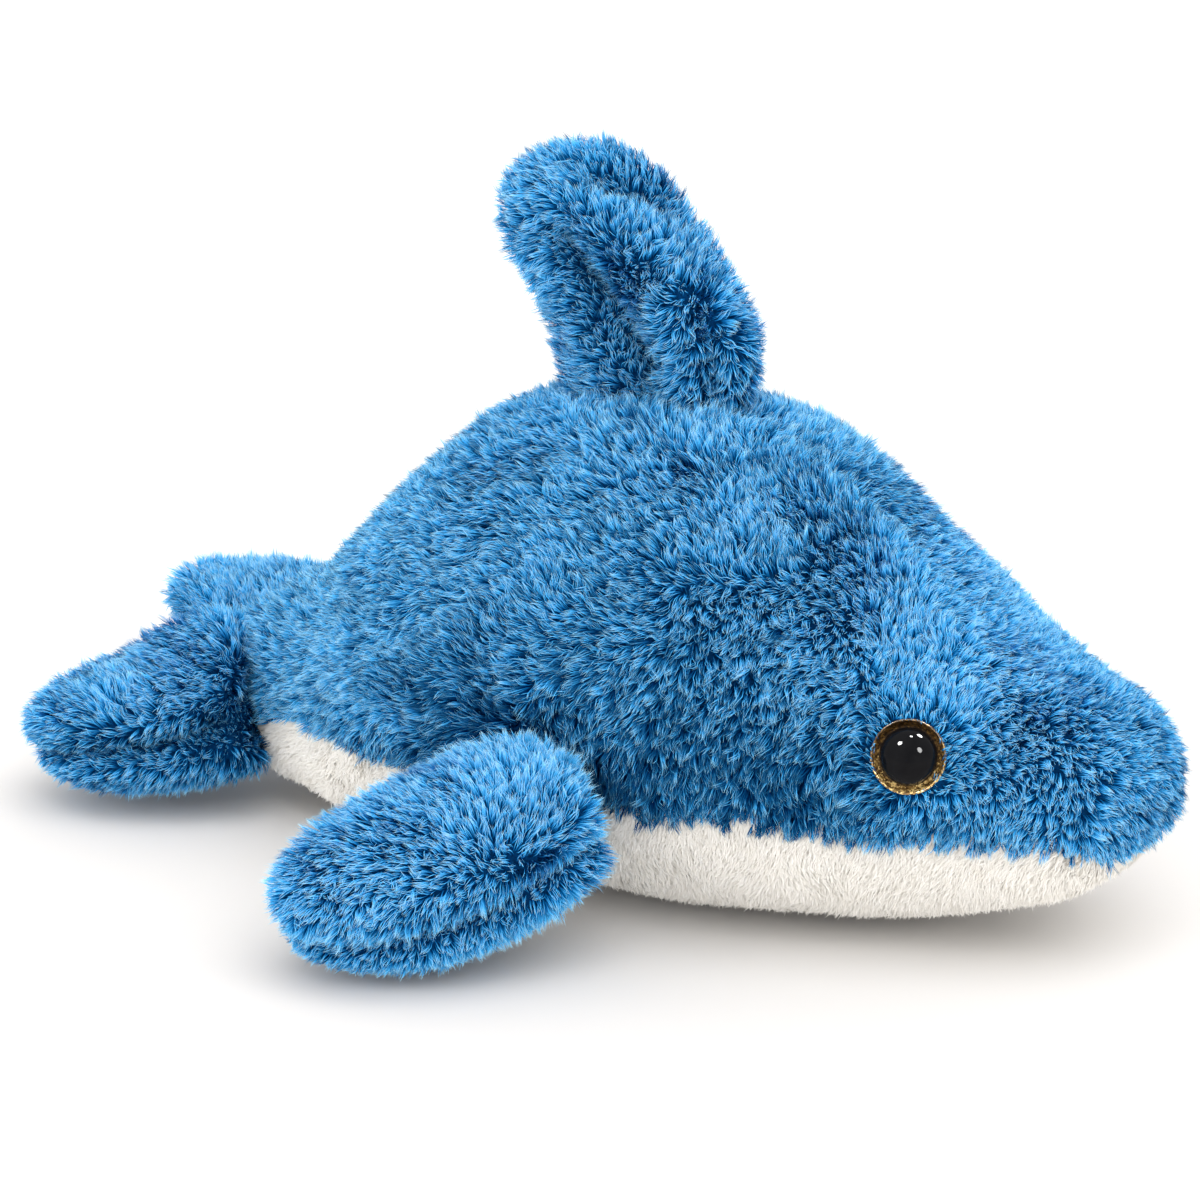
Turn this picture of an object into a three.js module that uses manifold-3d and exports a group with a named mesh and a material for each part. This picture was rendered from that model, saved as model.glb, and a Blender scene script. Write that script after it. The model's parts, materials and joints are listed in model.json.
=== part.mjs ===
// Plush dolphin lying on its belly: a stuffed body of three sewn panels with a sewn-in dorsal fin,
// two flippers and two tail flukes, and a pair of plastic eyes held by lock washers.
// Millimetres, +Z up, nose towards +X, left side towards +Y, floor at Z = 0.

import * as THREE from 'three';
import { mergeVertices } from 'three/addons/utils/BufferGeometryUtils.js';
import Module from 'manifold-3d';

const wasm = await Module();
wasm.setup();

// Cloth: pile standing on a knitted backing, measured as it lies combed
const BLUE_PILE = 6.5;
const WHITE_PILE = 4;
const BACKING = 1;
const GAP = 0.3; // clearance between pieces that are sewn or seated together
const WALL = BLUE_PILE + BACKING;
const BELLY_STEP = BLUE_PILE - WHITE_PILE; // the shorter white pile lies lower than the blue

// Body sections: half width, height of the back, of the widest line and of the belly above the floor
const BODY = {
  sections: [
    { along: -118, half: 19, top: 46, wide: 29, keel: 9 },
    { along: -92, half: 25, top: 56, wide: 33, keel: 6 },
    { along: -54, half: 51, top: 94, wide: 41, keel: 2 },
    { along: -36, half: 57.5, top: 106, wide: 43.5, keel: 1 },
    { along: -16, half: 60, top: 111, wide: 45, keel: 0.3 },
    { along: 18, half: 58, top: 109, wide: 45, keel: 0 },
    { along: 54, half: 48, top: 90.5, wide: 42, keel: 1.5 },
    { along: 88, half: 36, top: 64.5, wide: 40, keel: 8 },
    { along: 122, half: 29, top: 57, wide: 36.5, keel: 15 },
  ],
  startCap: 15,
  endCap: 22.5,
  fullness: 2.2,
  sag: 2.8,
};
const REST_FLAT = 0.5; // how deep the belly is pressed flat where it rests

// Seam between the blue sides and the white belly, seen from the side
const BELLY_SEAM = [
  [-130, 12],
  [-88, 25],
  [-28, 31],
  [50, 29.5],
  [98, 29.5],
  [108, 29],
  [115, 24],
  [122, 16],
];

// Limbs: sections along the span, with half chord, backward shift of the chord and half thickness
const ROOT_R = 3; // rolled seam at the root of each limb, on which it bends
const ROOT_SINK = 1.2; // how deep the middle of the rolled seam lies in the body
const DORSAL_FIN = {
  sections: [
    { along: 0, half: 25, shift: 0, thick: 12 },
    { along: 8, half: 25, shift: -1.5, thick: 14 },
    { along: 24, half: 26, shift: -8.5, thick: 16 },
    { along: 40, half: 24.5, shift: -18.5, thick: 15 },
    { along: 54, half: 23, shift: -26, thick: 13 },
  ],
  endCap: 20,
  fullness: 2.4,
  fillStart: 10,
  bend: [-20, 20], // degrees towards the right and the left
};
const FIN_X = -3;

const FLIPPER = {
  sections: [
    { along: 0, half: 21, shift: -1, thick: 14 },
    { along: 8, half: 25, shift: -5, thick: 17 },
    { along: 24, half: 29, shift: -12.5, thick: 20 },
    { along: 42, half: 28, shift: -22.5, thick: 18.5 },
    { along: 60, half: 22.5, shift: -30.5, thick: 14 },
  ],
  endCap: 22.5,
  fullness: 2.2,
  fillStart: 11,
  bend: [0, 35], // degrees down and up
};
const FLIPPER_X = 4;
const FLIPPER_Z = 36;
const FLIPPER_DROOP = 24; // degrees below the way out of the body

const FLUKE = {
  sections: [
    { along: 0, half: 17, shift: 5, thick: 18 },
    { along: 7, half: 21, shift: 5, thick: 18.5 },
    { along: 22, half: 24, shift: 3, thick: 17.5 },
    { along: 38, half: 22.5, shift: 0.5, thick: 14 },
    { along: 51, half: 19.5, shift: -1.5, thick: 11.5 },
  ],
  endCap: 20,
  fullness: 2.2,
  fillStart: 11,
};
const FLUKE_X = -101;
const FLUKE_Z = 24;
const FLUKE_SPREAD = 50; // degrees from straight back
const FLUKE_DROOP = 8.5;
const FLUKE_BEND = [-2, 20]; // degrees down and up
const LEFT_FLUKE_RAISE = 18; // the left fluke lies cocked up from the floor

// Eyes: a domed pupil on a stem, a dished iris ring behind it and a lock washer inside the body
const EYE_X = 78;
const EYE_Z = 49.5;
const PUPIL_R = 6.1;
const PUPIL_RISE = 4.4;
const IRIS_R = 8;
const IRIS_RIM = 1.4;
const IRIS_BASE = 1.2;
const IRIS_DEPTH = 3; // from the pile tips down to the back of the iris ring
const STEM_R = 2;
const WASHER_R = 7;
const WASHER_THICKNESS = 1.6;
const STEM_TAIL = 2; // stem left standing behind the washer

// Facets
const BODY_SIDES = 24;
const BODY_RINGS = 18;
const LIMB_SIDES = 16;
const LIMB_RINGS = 8;
const FILL_SIDES = 12;
const BODY_FILL_RINGS = 8;
const LIMB_FILL_RINGS = 5;
const ROUND_SIDES = 20;
const DOME_STEPS = 6;
const FAR = 400; // reach of cutting solids that run past the toy

// Smooth value between stations, by a cubic through each one
function smooth(stations, key, along) {
  const last = stations.length - 1;
  let i = 0;
  while (i < last - 1 && along > stations[i + 1].along) i += 1;
  const slopeAt = (k) => {
    const before = stations[Math.max(k - 1, 0)];
    const after = stations[Math.min(k + 1, last)];
    return (after[key] - before[key]) / (after.along - before.along);
  };
  const a = stations[i];
  const b = stations[i + 1];
  const span = b.along - a.along;
  const t = THREE.MathUtils.clamp((along - a.along) / span, 0, 1);
  const t2 = t * t;
  const t3 = t2 * t;
  return (2 * t3 - 3 * t2 + 1) * a[key] + (t3 - 2 * t2 + t) * span * slopeAt(i)
    + (3 * t2 - 2 * t3) * b[key] + (t3 - t2) * span * slopeAt(i + 1);
}

// A swollen form: its sections are rounded rings round a line, drawn together at each capped end
class SwollenForm {
  constructor({ sections, startCap = 0, endCap, fullness, sag = fullness }, toRing) {
    this.stations = sections.map((s) => ({ along: s.along, ...toRing(s) }));
    this.start = sections[0].along;
    this.end = sections[sections.length - 1].along;
    this.startCap = startCap;
    this.endCap = endCap;
    this.fullness = fullness;
    this.sag = sag;
  }

  // The same form drawn in by a distance all over; a later start leaves the root end empty
  inset(distance, start = this.start + distance, startCap = this.startCap - distance) {
    const inner = Object.create(this);
    inner.drawnIn = (this.drawnIn ?? 0) + distance;
    inner.start = start;
    inner.end = this.end - distance;
    inner.startCap = Math.max(startCap, 0);
    inner.endCap = this.endCap - distance;
    return inner;
  }

  ring(along) {
    const fromStart = this.startCap ? (this.start + this.startCap - along) / this.startCap : 0;
    const fromEnd = (along - this.end + this.endCap) / this.endCap;
    const depth = THREE.MathUtils.clamp(Math.max(fromStart, fromEnd), 0, 1);
    const round = Math.sqrt(1 - depth * depth);
    const value = (key) => smooth(this.stations, key, along);
    const girth = (key) => (value(key) - (this.drawnIn ?? 0)) * round;
    return {
      shift: value('shift'),
      lift: value('lift'),
      half: girth('half'),
      up: girth('up'),
      down: girth('down'),
    };
  }

  // Below zero inside the form and above zero outside it
  field(point) {
    if (point.x <= this.start || point.x >= this.end) return 1;
    const r = this.ring(point.x);
    const rise = point.z - r.lift;
    const roundness = rise > 0 ? this.fullness : this.sag;
    const across = Math.abs((point.y - r.shift) / r.half);
    const height = Math.abs(rise / (rise > 0 ? r.up : r.down));
    return across ** roundness + height ** roundness - 1;
  }

  geometry(sides, rings) {
    const positions = [];
    const index = [];
    const capped = this.startCap > 0;
    const addRing = (along) => {
      const r = this.ring(along);
      for (let k = 0; k < sides; k += 1) {
        const angle = ((k + 0.5) / sides) * 2 * Math.PI;
        const c = Math.cos(angle);
        const s = Math.sin(angle);
        const roundness = s > 0 ? this.fullness : this.sag;
        const across = Math.sign(c) * Math.abs(c) ** (2 / roundness);
        const rise = Math.sign(s) * Math.abs(s) ** (2 / roundness);
        const height = s > 0 ? r.up : r.down;
        positions.push(along, r.shift + across * r.half, r.lift + rise * height);
      }
    };
    const startRing = this.ring(this.start);
    const endRing = this.ring(this.end);
    positions.push(this.start, startRing.shift, startRing.lift);
    const firstRing = capped ? 1 : 0;
    for (let i = firstRing; i < rings; i += 1) {
      const turn = (i / rings) * Math.PI;
      const share = capped ? (1 - Math.cos(turn)) / 2 : Math.sin(turn / 2);
      addRing(this.start + (this.end - this.start) * share);
    }
    const ringCount = rings - firstRing;
    const endPole = 1 + ringCount * sides;
    positions.push(this.end, endRing.shift, endRing.lift);
    for (let k = 0; k < sides; k += 1) {
      const next = (k + 1) % sides;
      index.push(0, 1 + next, 1 + k);
      for (let i = 0; i < ringCount - 1; i += 1) {
        const a = 1 + i * sides;
        const b = a + sides;
        const onRight = Math.cos(((k + 1) / sides) * 2 * Math.PI) < 0;
        if (onRight) index.push(a + k, a + next, b + next, a + k, b + next, b + k);
        else index.push(a + k, a + next, b + k, b + k, a + next, b + next);
      }
      const tip = 1 + (ringCount - 1) * sides;
      index.push(endPole, tip + k, tip + next);
    }
    const geometry = new THREE.BufferGeometry();
    geometry.setAttribute('position', new THREE.Float32BufferAttribute(positions, 3));
    geometry.setIndex(index);
    return geometry;
  }
}

const bodyForm = new SwollenForm(BODY, (s) => ({
  shift: 0,
  half: s.half,
  lift: s.wide,
  up: s.top - s.wide,
  down: s.wide - s.keel + BELLY_STEP + REST_FLAT,
}));
const limbForm = (limb) => new SwollenForm(limb, (s) => ({
  shift: s.shift,
  half: s.half,
  lift: 0,
  up: s.thick,
  down: s.thick,
}));

// Solids for cutting and joining
function solid(geometry, matrix = new THREE.Matrix4()) {
  const weld = 1e-4; // corners nearer than this are one
  const bare = geometry.clone().applyMatrix4(matrix);
  bare.deleteAttribute('normal');
  bare.deleteAttribute('uv');
  const merged = mergeVertices(bare, weld);
  return new wasm.Manifold(new wasm.Mesh({
    numProp: 3,
    vertProperties: new Float32Array(merged.attributes.position.array),
    triVerts: new Uint32Array(merged.index.array),
  }));
}

function geometryOf(manifold) {
  const mesh = manifold.getMesh();
  const geometry = new THREE.BufferGeometry();
  geometry.setAttribute('position', new THREE.BufferAttribute(new Float32Array(mesh.vertProperties), 3));
  geometry.setIndex(new THREE.BufferAttribute(new Uint32Array(mesh.triVerts), 1));
  geometry.computeVertexNormals();
  return geometry;
}

// The same piece for the other side of the toy
function mirrored(geometry) {
  const copy = geometry.clone().scale(1, -1, 1);
  const index = copy.index.array;
  for (let i = 0; i < index.length; i += 3) [index[i], index[i + 1]] = [index[i + 1], index[i]];
  copy.computeVertexNormals();
  return copy;
}

// A box that fills one side of a plane: everything beyond the given height along an axis
function beyond(axis, height) {
  const box = new THREE.BoxGeometry(FAR, FAR, FAR);
  return box.translate(...['x', 'y', 'z'].map((name) => (name === axis ? height + FAR / 2 : 0)));
}

function below(axis, height) {
  const box = new THREE.BoxGeometry(FAR, FAR, FAR);
  return box.translate(...['x', 'y', 'z'].map((name) => (name === axis ? height - FAR / 2 : 0)));
}

// A cylinder along +Z between two heights
function rod(radius, from, to) {
  const geometry = new THREE.CylinderGeometry(radius, radius, to - from, ROUND_SIDES);
  return geometry.rotateX(Math.PI / 2).translate(0, 0, (from + to) / 2);
}

// Where a line from inside the body leaves it, and the way out there
function bodySurface(from, direction) {
  const exact = 1e-9;
  const probe = 0.05; // how far either side of the point its slope is taken
  let inner = 0;
  let outer = FAR;
  const at = (distance) => direction.clone().multiplyScalar(distance).add(from);
  while (outer - inner > exact) {
    const middle = (inner + outer) / 2;
    if (bodyForm.field(at(middle)) < 0) inner = middle;
    else outer = middle;
  }
  const point = at(inner);
  const slope = (axis) => bodyForm.field(point.clone().addScaledVector(axis, probe))
    - bodyForm.field(point.clone().addScaledVector(axis, -probe));
  const axes = [[1, 0, 0], [0, 1, 0], [0, 0, 1]].map((a) => new THREE.Vector3(...a));
  const normal = new THREE.Vector3(...axes.map(slope)).normalize();
  return { point, normal };
}

// Frame of a limb: span, chord and thickness at the rolled seam that joins it to the body
function limbFrame({ point, normal }, chordWish, droop) {
  const chord = chordWish.clone().addScaledVector(normal, -chordWish.dot(normal)).normalize();
  const root = point.clone().addScaledVector(normal, -ROOT_SINK);
  const frameAt = (angle) => {
    const span = normal.clone().applyAxisAngle(chord, THREE.MathUtils.degToRad(angle));
    return new THREE.Matrix4().makeBasis(span, chord, span.clone().cross(chord)).setPosition(root);
  };
  return { root, chord, frameAt, matrix: frameAt(droop) };
}

const bodyOuter = solid(bodyForm.geometry(BODY_SIDES, BODY_RINGS));
const bodyGrown = solid(bodyForm.inset(-GAP).geometry(BODY_SIDES, BODY_RINGS));
const bodyCavity = solid(bodyForm.inset(WALL).geometry(FILL_SIDES, BODY_FILL_RINGS));
const floor = solid(below('z', 0));

// Panels and stuffing of one limb, split along the seam round its edge.
// The body lies behind the plane that touches it at the root, so a limb cut by that plane,
// turned to both ends of its bend, clears the body all the way.
function makeLimb(limb, frame, bend) {
  const form = limbForm(limb);
  const rootLength = 2 * limb.sections[0].half;
  const rootShift = limb.sections[0].shift;
  const seamRoll = (radius, length) => solid(
    new THREE.CylinderGeometry(radius, radius, length, ROUND_SIDES).translate(0, rootShift, 0),
    frame.matrix,
  );
  const roll = seamRoll(ROOT_R, rootLength);
  const groove = seamRoll(ROOT_R + GAP, rootLength + 2 * GAP);
  const bodySide = below('x', ROOT_SINK + GAP);
  const bendRoom = bend
    .map((angle) => solid(bodySide, frame.frameAt(angle)))
    .reduce((room, side) => room.add(side), bodyGrown);
  const skin = solid(form.geometry(LIMB_SIDES, LIMB_RINGS), frame.matrix)
    .add(roll)
    .subtract(bendRoom.subtract(roll))
    .subtract(floor);
  const cavityForm = form.inset(WALL, limb.fillStart, limb.endCap - WALL);
  const cavity = solid(cavityForm.geometry(FILL_SIDES, LIMB_FILL_RINGS), frame.matrix);
  const fillForm = cavityForm.inset(GAP);
  const shell = skin.subtract(cavity);
  return {
    groove,
    upper: geometryOf(shell.intersect(solid(beyond('z', GAP / 2), frame.matrix))),
    lower: geometryOf(shell.intersect(solid(below('z', -GAP / 2), frame.matrix))),
    stuffing: geometryOf(solid(fillForm.geometry(FILL_SIDES, LIMB_FILL_RINGS), frame.matrix)),
  };
}

const forward = new THREE.Vector3(1, 0, 0);
const upward = new THREE.Vector3(0, 0, 1);
const finSeat = bodySurface(new THREE.Vector3(FIN_X, 0, bodyForm.ring(FIN_X).lift), upward);
const finFrame = limbFrame(finSeat, forward, 0);
const dorsalFin = makeLimb(DORSAL_FIN, finFrame, DORSAL_FIN.bend);

const rightSide = new THREE.Vector3(0, -1, 0);
const flipperSeat = bodySurface(new THREE.Vector3(FLIPPER_X, 0, FLIPPER_Z), rightSide);
const flipperFrame = limbFrame(flipperSeat, forward, FLIPPER_DROOP);
const flipper = makeLimb(FLIPPER, flipperFrame, FLIPPER.bend);

const spread = THREE.MathUtils.degToRad(FLUKE_SPREAD);
const flukeWay = new THREE.Vector3(-Math.cos(spread), -Math.sin(spread), 0);
const flukeChord = new THREE.Vector3(Math.sin(spread), -Math.cos(spread), 0);
const flukeSeat = bodySurface(new THREE.Vector3(FLUKE_X, 0, FLUKE_Z), flukeWay);
const flukeFrame = limbFrame(flukeSeat, flukeChord, FLUKE_DROOP);
const rightFluke = makeLimb(FLUKE, flukeFrame, FLUKE_BEND);
const raisedFrame = limbFrame(flukeSeat, flukeChord, FLUKE_DROOP - LEFT_FLUKE_RAISE);
const raisedBend = FLUKE_BEND.map((angle) => angle - LEFT_FLUKE_RAISE);
const raisedFluke = makeLimb(FLUKE, raisedFrame, raisedBend);

// Eye pieces turn round the way out of the head at the eye
const eyeSeat = bodySurface(new THREE.Vector3(EYE_X, 0, EYE_Z), rightSide);
const eyeTurn = new THREE.Quaternion().setFromUnitVectors(upward, eyeSeat.normal);
const eyeMatrix = new THREE.Matrix4().makeRotationFromQuaternion(eyeTurn).setPosition(eyeSeat.point);

const irisBack = -IRIS_DEPTH;
const irisFront = irisBack + IRIS_BASE;
const pupilBack = irisFront + GAP;
const washerFront = -WALL - GAP;
const washerBack = washerFront - WASHER_THICKNESS;
const stemEnd = washerBack - STEM_TAIL;

function turned(profile) {
  const points = profile.map(([radius, height]) => new THREE.Vector2(radius, height));
  return new THREE.LatheGeometry(points, ROUND_SIDES).rotateX(Math.PI / 2);
}

function pupilGeometry() {
  const profile = [[0, stemEnd], [STEM_R, stemEnd], [STEM_R, pupilBack]];
  for (let i = 0; i < DOME_STEPS; i += 1) {
    const angle = (i / DOME_STEPS) * Math.PI / 2;
    profile.push([PUPIL_R * Math.cos(angle), pupilBack + PUPIL_RISE * Math.sin(angle)]);
  }
  profile.push([0, pupilBack + PUPIL_RISE]);
  return turned(profile);
}

function irisGeometry() {
  const bore = STEM_R + GAP;
  const seat = PUPIL_R + GAP;
  return turned([
    [bore, irisBack],
    [IRIS_R, irisBack],
    [IRIS_R, irisFront + IRIS_RIM],
    [seat, irisFront],
    [bore, irisFront],
    [bore, irisBack],
  ]);
}

function washerGeometry() {
  const bore = STEM_R + GAP;
  return turned([
    [bore, washerBack],
    [WASHER_R, washerBack],
    [WASHER_R, washerFront],
    [bore, washerFront],
    [bore, washerBack],
  ]);
}

const eyePocket = solid(rod(IRIS_R + GAP, irisBack - GAP, FAR), eyeMatrix);
const stemHole = solid(rod(STEM_R + GAP, stemEnd - GAP, 0), eyeMatrix);
const washerPocket = solid(rod(WASHER_R + GAP, stemEnd - GAP, washerFront + GAP), eyeMatrix);

// Body panels: the white belly lies under the seam line, the blue sides above it
function bellySeamRegion(offset) {
  const seam = new THREE.SplineCurve(BELLY_SEAM.map(([x, z]) => new THREE.Vector2(x, z + offset)));
  const line = seam.getPoints(BODY_RINGS);
  const shape = new THREE.Shape(line);
  shape.lineTo(line[line.length - 1].x, -FAR);
  shape.lineTo(line[0].x, -FAR);
  const geometry = new THREE.ExtrudeGeometry(shape, { depth: FAR, bevelEnabled: false });
  return solid(geometry.translate(0, 0, -FAR / 2).rotateX(Math.PI / 2));
}

const bellyForm = solid(bodyForm.inset(BELLY_STEP).geometry(BODY_SIDES, BODY_RINGS));
const mirrorSolid = (manifold) => solid(mirrored(geometryOf(manifold)));
const bellyPanel = bellyForm
  .intersect(bellySeamRegion(-GAP / 2))
  .subtract(bodyCavity)
  .subtract(rightFluke.groove)
  .subtract(mirrorSolid(rightFluke.groove))
  .subtract(floor);
const rightPanel = bodyOuter
  .intersect(solid(below('y', -GAP / 2)))
  .subtract(bellySeamRegion(GAP / 2))
  .subtract(bodyCavity)
  .subtract(dorsalFin.groove)
  .subtract(flipper.groove)
  .subtract(rightFluke.groove)
  .subtract(eyePocket)
  .subtract(stemHole)
  .subtract(washerPocket);
const eyeRoom = washerPocket.add(stemHole);
const bodyStuffing = solid(bodyForm.inset(WALL + GAP).geometry(FILL_SIDES, BODY_FILL_RINGS))
  .subtract(eyeRoom)
  .subtract(mirrorSolid(eyeRoom));

// Finishes
function finish(color, roughness, metalness = 0) {
  return new THREE.MeshStandardMaterial({ color, roughness, metalness });
}

const bluePlush = finish(0x2f78bd, 0.95);
const whitePlush = finish(0xe9e5de, 0.95);
const fibrefill = finish(0xf2f2ee, 1);
const blackPlastic = finish(0x0a0a0b, 0.12);
const bronzeGlitter = finish(0x8a5f24, 0.4, 0.7);
const whitePlastic = finish(0xdedede, 0.5);

const dolphin = new THREE.Group();

function add(name, geometry, material) {
  const mesh = new THREE.Mesh(geometry, material);
  mesh.name = name;
  dolphin.add(mesh);
}

function addPair(name, geometry, material) {
  add(`right_${name}`, geometry, material);
  add(`left_${name}`, mirrored(geometry), material);
}

addPair('side_panel', geometryOf(rightPanel), bluePlush);
add('belly_panel', geometryOf(bellyPanel), whitePlush);
add('body_stuffing', geometryOf(bodyStuffing), fibrefill);

add('dorsal_fin_left_panel', dorsalFin.upper, bluePlush);
add('dorsal_fin_right_panel', dorsalFin.lower, bluePlush);
add('dorsal_fin_stuffing', dorsalFin.stuffing, fibrefill);

addPair('flipper_top_panel', flipper.upper, bluePlush);
addPair('flipper_bottom_panel', flipper.lower, bluePlush);
addPair('flipper_stuffing', flipper.stuffing, fibrefill);

add('right_fluke_top_panel', rightFluke.upper, bluePlush);
add('right_fluke_bottom_panel', rightFluke.lower, bluePlush);
add('right_fluke_stuffing', rightFluke.stuffing, fibrefill);
add('left_fluke_top_panel', mirrored(raisedFluke.upper), bluePlush);
add('left_fluke_bottom_panel', mirrored(raisedFluke.lower), bluePlush);
add('left_fluke_stuffing', mirrored(raisedFluke.stuffing), fibrefill);

addPair('eye_pupil', geometryOf(solid(pupilGeometry(), eyeMatrix)), blackPlastic);
addPair('eye_iris_ring', geometryOf(solid(irisGeometry(), eyeMatrix)), bronzeGlitter);
addPair('eye_lock_washer', geometryOf(solid(washerGeometry(), eyeMatrix)), whitePlastic);

// The origin lies under the middle of the toy
const reach = new THREE.Box3().setFromObject(dolphin, true);
dolphin.position.x = -(reach.min.x + reach.max.x) / 2;

// Bending lines of the fin and of the limbs on the right
const bendLine = ({ root, chord }) => ({
  point: root.clone().add(dolphin.position).toArray(),
  axis: chord.toArray(),
});
dolphin.userData.bendLines = {
  dorsal_fin: bendLine(finFrame),
  right_flipper: bendLine(flipperFrame),
  right_fluke: bendLine(flukeFrame),
};

export default dolphin;
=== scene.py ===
"""Looks of the plush dolphin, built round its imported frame: metres, +Z up, nose to +X, left side to +Y."""

import json
import math
from dataclasses import dataclass

import bpy
import numpy as np
from mathutils import Matrix, Vector
from mathutils.bvhtree import BVHTree
from mathutils.kdtree import KDTree


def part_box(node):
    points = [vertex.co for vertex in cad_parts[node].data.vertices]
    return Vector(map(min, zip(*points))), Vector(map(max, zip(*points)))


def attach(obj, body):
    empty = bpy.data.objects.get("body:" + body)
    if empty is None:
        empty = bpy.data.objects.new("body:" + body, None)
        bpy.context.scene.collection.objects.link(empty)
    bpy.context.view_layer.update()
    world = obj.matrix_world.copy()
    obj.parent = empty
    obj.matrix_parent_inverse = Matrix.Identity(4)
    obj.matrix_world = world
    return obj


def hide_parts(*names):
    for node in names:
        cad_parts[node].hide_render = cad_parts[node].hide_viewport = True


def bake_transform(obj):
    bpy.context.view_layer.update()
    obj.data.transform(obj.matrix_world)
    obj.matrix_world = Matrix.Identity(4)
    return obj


MM = 0.001
SEED = 11
FAR = 0.3  # beyond the toy on every side

# View of the photograph
CAMERA_TURN = 31  # degrees round from the toy's right side towards its nose
CAMERA_RISE = 17
CAMERA_DISTANCE = 1.1
CAMERA_TARGET = Vector((3.81, -10, 62)) * MM
LENS = 148.5


@dataclass(frozen=True)
class Pile:
    """Pile of one cloth; leans are degrees away from the way out of the cloth."""

    slot: str
    length: float
    sink: float  # depth of the cloth under the pile's tips
    width: float  # of a strand
    density: float  # strands to the square metre
    root_lean: float
    tip_lean: float
    tuft: float  # spacing of the tufts that strands gather in
    gather: float  # how far the tips of a tuft close up, 0 to 1
    as_cloth: float  # how far a strand is shaded as the cloth that it lies on, 0 to 1


BLUE = Pile("blue_plush", 5.6 * MM, 2.6 * MM, 0.19 * MM, 5.5e6, 10, 58, 1.2 * MM, 0.7, 0.35)
WHITE = Pile("white_plush", 3 * MM, 1.4 * MM, 0.22 * MM, 9e6, 42, 76, 1.4 * MM, 0.2, 0.5)

# Skin under the pile
RING_SIDES = 72
VOXEL = 2.2 * MM
SMOOTHING = 8
SEAM_WIDTH = 4 * MM
# How far seams pull the cloth in, and the share of the pile's length lost along them, which also sets the painted
# shade there
FURROWS = {"body": 1.2 * MM, "fin": 0.8 * MM, "flipper": 6.5 * MM, "fluke": 6.5 * MM}
TRIMS = {"body": 0, "fin": 0.1, "flipper": 0.6, "fluke": 0.7}
LUMP_DEPTH = 0.5 * MM  # of the unevenness of the stuffing
LUMP_SIZE = 26 * MM
PRESSURE = 3  # of the stuffing on the cloth
PUFF_FRAMES = 12
PUFF_CAP = 2.5 * MM  # the cloth swells by no more
SEAT_CLEARANCE = 0.3 * MM  # between an eye's ring and the cloth behind it
SEAT_MARGIN = 6 * MM  # round the ring, over which the cloth comes back to its own height

# Strands
STRAND_STEPS = 4
PIECE_STRANDS = 38000
TINT_WIDTH = 0.002  # of a strand on its colour map
FLOOR_CLEARANCE = 0.3 * MM
FRIZZ = 0.2 * MM  # waver of the tips
TUFT_DRAW = 0.85  # share of a strand's distance from its tuft's spine that is lost by the tip
GATHER_CURVE = 1.3  # power by which a strand joins its tuft towards the tip
TAPER = ((0, 0.35, 0.7, 1), (0.8, 1, 0.85, 0))  # share of the full width at places from root to tip
ROLL, ROLL_LIMIT = 38, 48  # spread and limit of a strand's turn about its own line, degrees
TINT_SPREAD, TUFT_TINT_SPREAD = 0.28, 0.26
SEAM_PAINTED_SHADE = 0.9  # painted shade: how much darker the pile is in a seam or crease
CONTACT_PAINTED_SHADE = 0.3  # painted shade where skins touch
CONTACT_REACH = 6 * MM  # how near a neighbouring skin has to be for that
COVERED = -0.8 * MM  # strands rooted deeper than this in a neighbouring skin are left out

# Unevenness of the comb: amount, in degrees or as a tint, and size of its patches
WIDE_DRIFT = (34, 26 * MM)
FINE_DRIFT = (26, 8 * MM)
LEAN_DRIFT = (7, 16 * MM)
TINT_DRIFT = (0.07, 14 * MM)

# Pile round the eyes
EYE_OVERLAP = 1.8 * MM  # of the pile over the rim of an eye, more or less
OVERLAP_LIMIT = 1.6 * EYE_OVERLAP
EYE_CUTS = 5
EYE_CUT = 0.8  # what each cut leaves of a strand that reaches over an eye
EYE_DEPTH = 30 * MM  # what lies deeper than this behind an eye isn't beside it
RIM_LIFT = 0.3 * MM  # of the strands above the front of the ring
RIM_MARGIN = 2 * MM  # round the ring, over which the lift fades

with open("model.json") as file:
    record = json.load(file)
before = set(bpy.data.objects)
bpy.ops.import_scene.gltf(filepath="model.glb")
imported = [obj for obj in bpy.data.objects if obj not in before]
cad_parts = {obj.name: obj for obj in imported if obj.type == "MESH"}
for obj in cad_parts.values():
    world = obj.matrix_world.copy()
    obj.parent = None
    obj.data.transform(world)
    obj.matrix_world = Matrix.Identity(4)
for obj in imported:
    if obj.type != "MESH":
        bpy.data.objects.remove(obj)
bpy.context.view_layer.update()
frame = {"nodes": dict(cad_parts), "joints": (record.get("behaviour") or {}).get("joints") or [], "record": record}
nodes = frame["nodes"]
bodies = frame["record"]["behaviour"]["bodies"]
joints = {joint["child"]: joint for joint in frame["joints"]}
rng = np.random.default_rng(SEED)


# Meshes and arrays

def coordinates(mesh):
    values = np.empty(len(mesh.vertices) * 3)
    mesh.vertices.foreach_get("co", values)
    return values.reshape(-1, 3)


def vertex_normals(mesh):
    values = np.empty(len(mesh.vertices) * 3)
    mesh.vertex_normals.foreach_get("vector", values)
    return values.reshape(-1, 3)


def set_coordinates(mesh, points):
    mesh.vertices.foreach_set("co", points.astype(np.float32).ravel())
    mesh.update()


def edges(mesh):
    values = np.empty(len(mesh.edges) * 2, int)
    mesh.edges.foreach_get("vertices", values)
    return values.reshape(-1, 2)


def unit(vectors):
    length = np.linalg.norm(vectors, axis=-1, keepdims=True)
    return vectors / np.maximum(length, 1e-12)


def dot(a, b):
    return (a * b).sum(-1, keepdims=True)


def smoothstep(low, high, value):
    t = np.clip((value - low) / (high - low), 0, 1)
    return t * t * (3 - 2 * t)


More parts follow.
